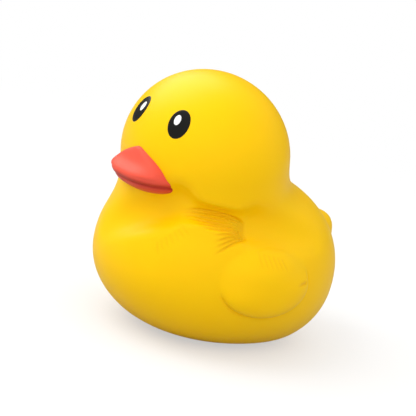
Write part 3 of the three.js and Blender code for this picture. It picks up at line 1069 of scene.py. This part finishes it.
@dataclass
class Bill:
    """The red bill: a puffed upper half with a soft ridge over a thinner lower half."""

    form: FoamForm
    finish: SkinFinish = SkinFinish(
        "bill_paint",
        linear(238, 92, 72),
        linear(212, 54, 38),
        roughness=0.42,
        gloss=0.15,
        mottle=0.45,
        pore_grain=0.8,
        pore_depth=0.06,
        subsurface=0.1,
        # painted shade along the mouth line and over the lower half, towards a dark red
        painted_shade_strength=0.75,
        painted_shade_color=linear(150, 18, 10),
    )
    turn: float = -3.2  # the squeeze has turned it to the duck's right
    half_width: float = 27.0
    reach: float = 11.3  # tip ahead of the face
    root: float = 14.8  # axis of the outlines behind the face
    flank: float = 2.6  # how late the flanks close towards the apex
    waist: float = 2.4  # how far the flanks draw in halfway up
    fall: float = 0.35  # how late the top falls back behind the rolled lip
    mouth_drop: float = 19.1  # mouth line below the head centre
    lip_rise: float = 3.7  # fullest outline above the mouth line
    lip_tuck: float = 2.0  # how far the lip draws in at the mouth line
    lip_squareness: float = 2.5
    flank_squareness: float = 2.0  # what the outlines halfway up add to that
    apex_rise: float = 22.6  # above the mouth line
    apex_reach: float = 3.0  # ahead of the face
    apex_squareness: float = 2.2
    apex_rounding: float = 6.3  # how late the top edge rounds over
    apex_closing: float = 30.0  # how late the outlines close at the apex
    lower_half_width: float = 25.9
    lower_reach: float = 8.1
    lower_depth: float = 8.5
    lower_squareness: float = 2.15
    mouth_overlap: float = 1.0
    lower_painted_shade: float = 0.45  # painted shade on the lower half, as a share of that at the mouth line
    mouth_painted_shade_reach: float = 2.2  # how far the painted shade spreads from the mouth line
    columns: int = 160
    rows: int = 90

    def build(self) -> list[bpy.types.Object]:
        """Make both halves.

        Returns:
            The finished pieces.
        """
        paint = self.finish.material()
        halves = {"bill_upper": self.upper, "bill_lower": self.lower}
        pieces = []
        for name, shape in halves.items():
            piece = mesh_object(name, *wrapped_sheet(self.columns, self.rows, shape))
            self.mark_mouth_shade(piece)
            dress(piece, paint)
            pieces.append(piece)
        return pieces

    def mark_mouth_shade(self, piece: bpy.types.Object) -> None:
        """Mark how near the points lie to the mouth line, and the lower half, for painted shade in the red.

        Args:
            piece: a half of the bill.
        """
        places = np.empty(len(piece.data.vertices) * 3, dtype=np.float32)
        piece.data.vertices.foreach_get("co", places)
        rise = places[2::3] / MM - self.form.head.centre[2] + self.mouth_drop
        nearness = np.exp(-((rise / self.mouth_painted_shade_reach) ** 2))
        # painted shade: the lower half, under the upper one, is darker throughout
        nearness = np.maximum(nearness, self.lower_painted_shade * (rise < 0))
        marks = piece.data.attributes.new(PAINTED_SHADE_ATTRIBUTE, "FLOAT", "POINT")
        marks.data.foreach_set("value", nearness.astype(np.float32))

    def outline(
        self,
        around: np.ndarray,
        half_width: np.ndarray,
        reach: np.ndarray,
        squareness: np.ndarray | float,
        height: np.ndarray,
    ) -> np.ndarray:
        """Points on level outlines of the bill.

        Args:
            around: shares of a turn.
            half_width: half the outlines' width.
            reach: the outlines' reach ahead of the face.
            squareness: of the outlines, 2 for an ellipse.
            height: above the mouth line.

        Returns:
            One row for each point.
        """
        angle = around * 2 * math.pi
        power = 2.0 / squareness
        middle_x, _, middle_z = self.form.head.centre
        x = self.form.head.ahead - self.root + (self.root + reach) * signed_power(np.cos(angle), power)
        y = half_width * signed_power(np.sin(angle), power)
        turn = math.radians(self.turn)
        ahead = middle_x + x * math.cos(turn) - y * math.sin(turn)
        aside = x * math.sin(turn) + y * math.cos(turn)
        return np.stack([ahead, aside, middle_z - self.mouth_drop + height], axis=-1)

    def upper(self, around: np.ndarray, along: np.ndarray) -> np.ndarray:
        """Points of the upper half, from the middle of the mouth over the lip to the apex.

        Args:
            around: shares of a turn.
            along: shares of the way.

        Returns:
            One row for each point.
        """
        floor_share, lip_share = 0.15, 0.35
        spread = np.clip(along / floor_share, 0.0, 1.0)
        lift = np.clip((along - floor_share) / (lip_share - floor_share), 0.0, 1.0)
        climb = np.sin(np.clip((along - lip_share) / (1.0 - lip_share), 0.0, 1.0) * math.pi / 2)
        middle = 4.0 * climb * (1.0 - climb)
        tuck = self.lip_tuck * (1.0 - lift) ** 2
        height = self.lip_rise * lift + (self.apex_rise - self.lip_rise) * climb
        height = height - self.mouth_overlap * (1.0 - spread)
        width = self.half_width * (1.0 - climb**self.flank) - self.waist * middle - tuck
        fall = climb**2 / (climb**2 + (self.fall * (1.0 - climb)) ** 2)
        ahead = self.reach + (self.apex_reach - self.reach) * fall
        ahead = ahead * np.sqrt(1.0 - climb**self.apex_rounding) - tuck
        squareness = self.lip_squareness + (self.apex_squareness - self.lip_squareness) * climb
        squareness = squareness + self.flank_squareness * middle
        closing = np.sqrt(1.0 - climb**self.apex_closing) * spread
        reach = (self.root + ahead) * closing - self.root
        return self.outline(around, width * spread, reach, squareness, height)

    def lower(self, around: np.ndarray, along: np.ndarray) -> np.ndarray:
        """Points of the lower half, from the middle of the mouth round to the middle underneath.

        Args:
            around: shares of a turn.
            along: shares of the way.

        Returns:
            One row for each point.
        """
        floor_share = 0.25
        spread = np.clip(along / floor_share, 0.0, 1.0)
        turn = np.clip((along - floor_share) / (1.0 - floor_share), 0.0, 1.0) * math.pi / 2
        power = 2.0 / self.lower_squareness
        out = np.maximum(np.cos(turn), 0.0) ** power * spread
        height = self.mouth_overlap - (self.lower_depth + self.mouth_overlap) * np.sin(turn) ** power
        ahead = (self.root + self.lower_reach) * out - self.root
        return self.outline(around, self.lower_half_width * out, ahead, self.lip_squareness, height)


@dataclass
class Eye:
    """A printed eye: an upright black oval with a pale glint near its top."""

    form: FoamForm
    side: Side
    black: bpy.types.Material
    white: bpy.types.Material
    azimuth: float = 23.1
    elevation: float = 25.3
    half_width: float = 7.8
    half_height: float = 10.5
    glint_half_width: float = 2.5
    glint_half_height: float = 3.8
    glint_inward: float = 1.8
    glint_upward: float = 2.3
    film: float = 0.25  # how far the print stands out
    glint_film: float = 0.4
    film_squareness: int = 12  # how late the film thins towards its edge
    root: float = 1.5  # how deep it starts in the foam
    columns: int = 96
    rows: int = 32

    def build(self) -> list[bpy.types.Object]:
        """Print the oval and its glint.

        Returns:
            The finished pieces.
        """
        side = self.side.name.lower()
        oval = self.print_oval(f"{side}_eye", self.half_width, self.half_height, 0.0, 0.0, self.film)
        dress(oval, self.black)
        glint = self.print_oval(
            f"{side}_glint",
            self.glint_half_width,
            self.glint_half_height,
            self.glint_inward,
            self.glint_upward,
            self.glint_film,
        )
        dress(glint, self.white)
        return [oval, glint]

    def print_oval(
        self, name: str, half_width: float, half_height: float, inward: float, upward: float, film: float
    ) -> bpy.types.Object:
        """Print one oval on the face.

        Args:
            name: the piece's name.
            half_width: half its width.
            half_height: half its height.
            inward: how far it lies from the eye's middle towards the bill.
            upward: how far it lies above the eye's middle.
            film: how far it stands out from the foam.

        Returns:
            The piece.
        """
        side = self.side.value
        middle = headings(np.array(side * self.azimuth), np.array(self.elevation))
        turn = math.radians(self.azimuth)
        outward = np.array([-math.sin(turn), side * math.cos(turn), 0.0])
        upright = np.cross(middle, outward) * side
        centre = np.array(self.form.head.centre)
        touch = self.form.leave(self.form.plump, self.form.head.centre, middle[None])[0] - centre

        def point_at(around: np.ndarray, along: np.ndarray) -> np.ndarray:
            """Points from the root in the foam, round the edge and over the print.

            Args:
                around: shares of a turn.
                along: shares of the way.

            Returns:
                One row for each point.
            """
            spread = np.sin(along * math.pi)[:, None]
            angle = (around * 2 * math.pi)[:, None]
            aims = touch + outward * (half_width * spread * np.cos(angle) - inward)
            aims = aims + upright * (half_height * spread * np.sin(angle) + upward)
            aims = aims / np.linalg.norm(aims, axis=1)[:, None]
            skin = self.form.leave(self.form.plump, self.form.head.centre, aims)
            crown = np.sqrt(np.maximum(1.0 - spread**self.film_squareness, 0.0))
            return skin + aims * np.where(along[:, None] < 0.5, -self.root, film * crown)

        return mesh_object(name, *wrapped_sheet(self.columns, self.rows, point_at))


@dataclass(frozen=True)
class PhotoView:
    """Where the photograph was taken from."""

    azimuth: float = 45.45  # from the bill towards the duck's left
    elevation: float = 13.8
    roll: float = 12.13
    distance: float = 950.0
    mm_per_pixel: float = 0.72  # at the target
    target: Place = (13.54, 0.0, 79.07)
    target_pixel: tuple[float, float] = (217.63, 222.32)
    picture_side: int = 416
    sensor: float = 36.0

    @cached_property
    def axes(self) -> np.ndarray:
        """The directions of the view.

        Returns:
            Right, up and back, as rows.
        """
        back = headings(np.array(self.azimuth), np.array(self.elevation))
        level = headings(np.array(self.azimuth + 90.0), np.array(0.0))
        upright = np.cross(back, level)
        turn = math.radians(self.roll)
        right = level * math.cos(turn) + upright * math.sin(turn)
        return np.stack([right, np.cross(back, right), back])

    def camera(self) -> bpy.types.Object:
        """Make the camera.

        Returns:
            The camera's object.
        """
        data = bpy.data.cameras.new("photo_view")
        data.sensor_width = self.sensor
        data.lens = self.sensor * self.distance / (self.mm_per_pixel * self.picture_side)
        data.shift_x = (0.5 * self.picture_side - self.target_pixel[0]) / self.picture_side
        data.shift_y = (self.target_pixel[1] - 0.5 * self.picture_side) / self.picture_side
        camera = bpy.data.objects.new("photo_view", data)
        place = Matrix(self.axes.T.tolist()).to_4x4()
        place.translation = Vector((np.array(self.target) + self.axes[2] * self.distance) * MM)
        camera.matrix_world = place
        bpy.context.scene.collection.objects.link(camera)
        bpy.context.scene.camera = camera
        return camera


@dataclass(frozen=True)
class SoftBox:
    """A square soft light, placed by the view's right, up and back directions."""

    name: str
    way: Place
    watts: float
    distance: float = 1100.0
    side: float = 1000.0
    mirrored: bool = False  # whether it shows as a sheen alone, or else lights without one


@dataclass
class Studio:
    """A plain white studio: floor, soft lights, white surroundings and the camera."""

    view: PhotoView = PhotoView()
    floor_finish: FloorFinish = FloorFinish()
    floor_side: float = 16000.0
    boxes: tuple[SoftBox, ...] = (
        SoftBox("top_left_light", (-0.5, 0.8, 0.3), 6.0),
        SoftBox("front_light", (0.0, 0.2, 0.98), 2.0),
        SoftBox("sheen_light", (-0.3, 1.0, -0.3), 9.0, mirrored=True),
    )
    room_light: float = 1.0
    reflected_light: float = 0.05  # as glossy rays see the room

    def build(self) -> None:
        """Make the floor, lights, world and camera."""
        side = self.floor_side / 2
        corners = np.array([[-side, -side, 0], [side, -side, 0], [side, side, 0], [-side, side, 0]], float)
        floor = mesh_object("floor", corners, [(0, 1, 2, 3)])
        floor.data.materials.append(self.floor_finish.material())
        for box in self.boxes:
            self.light(box)
        self.surroundings()
        self.view.camera()

    def light(self, box: SoftBox) -> None:
        """Hang one soft light.

        Args:
            box: its place, size and power.
        """
        data = bpy.data.lights.new(box.name, "AREA")
        data.size = box.side * MM
        data.energy = box.watts
        way = np.array(box.way) @ self.view.axes
        way = way / np.linalg.norm(way)
        light = bpy.data.objects.new(box.name, data)
        light.visible_glossy = box.mirrored
        light.visible_diffuse = not box.mirrored
        light.location = Vector((np.array(self.view.target) + way * box.distance) * MM)
        light.rotation_mode = "QUATERNION"
        light.rotation_quaternion = Vector(way).to_track_quat("Z", "Y")
        bpy.context.scene.collection.objects.link(light)

    def surroundings(self) -> None:
        """Light the room evenly, show it white, and dim it where a sheen would mirror it."""
        world = bpy.data.worlds.new("white_room")
        world.use_nodes = True
        world.node_tree.nodes.clear()
        tree = Tree(world.node_tree)
        paths = tree.node("ShaderNodeLightPath")
        seen = tree.wire(paths, "Is Camera Ray")
        mirrored = tree.wire(paths, "Is Glossy Ray")
        strength = self.room_light + (1.0 - self.room_light) * seen
        strength = strength + (self.reflected_light - self.room_light) * mirrored
        background = tree.node("ShaderNodeBackground", None, {"Color": WHITE, "Strength": strength})
        output = tree.node("ShaderNodeOutputWorld")
        tree.nodes.links.new(background.outputs[0], output.inputs["Surface"])
        bpy.context.scene.world = world


def main() -> None:
    """Build the duck and its studio."""
    logging.basicConfig(level=logging.INFO, format="%(name)s: %(message)s")
    bpy.context.scene.view_settings.view_transform = "Standard"
    form = FoamForm()
    FoamSkin(form).build()
    Bill(form).build()
    black = SkinFinish("eye_print", linear(26, 26, 23), linear(38, 38, 36), 0.38, mottle=0.5).material()
    white = SkinFinish("glint_print", linear(243, 243, 241), linear(222, 222, 218), 0.4).material()
    for side in Side:
        Eye(form, side, black, white).build()
    Studio().build()


if __name__ == "__main__":
    main()
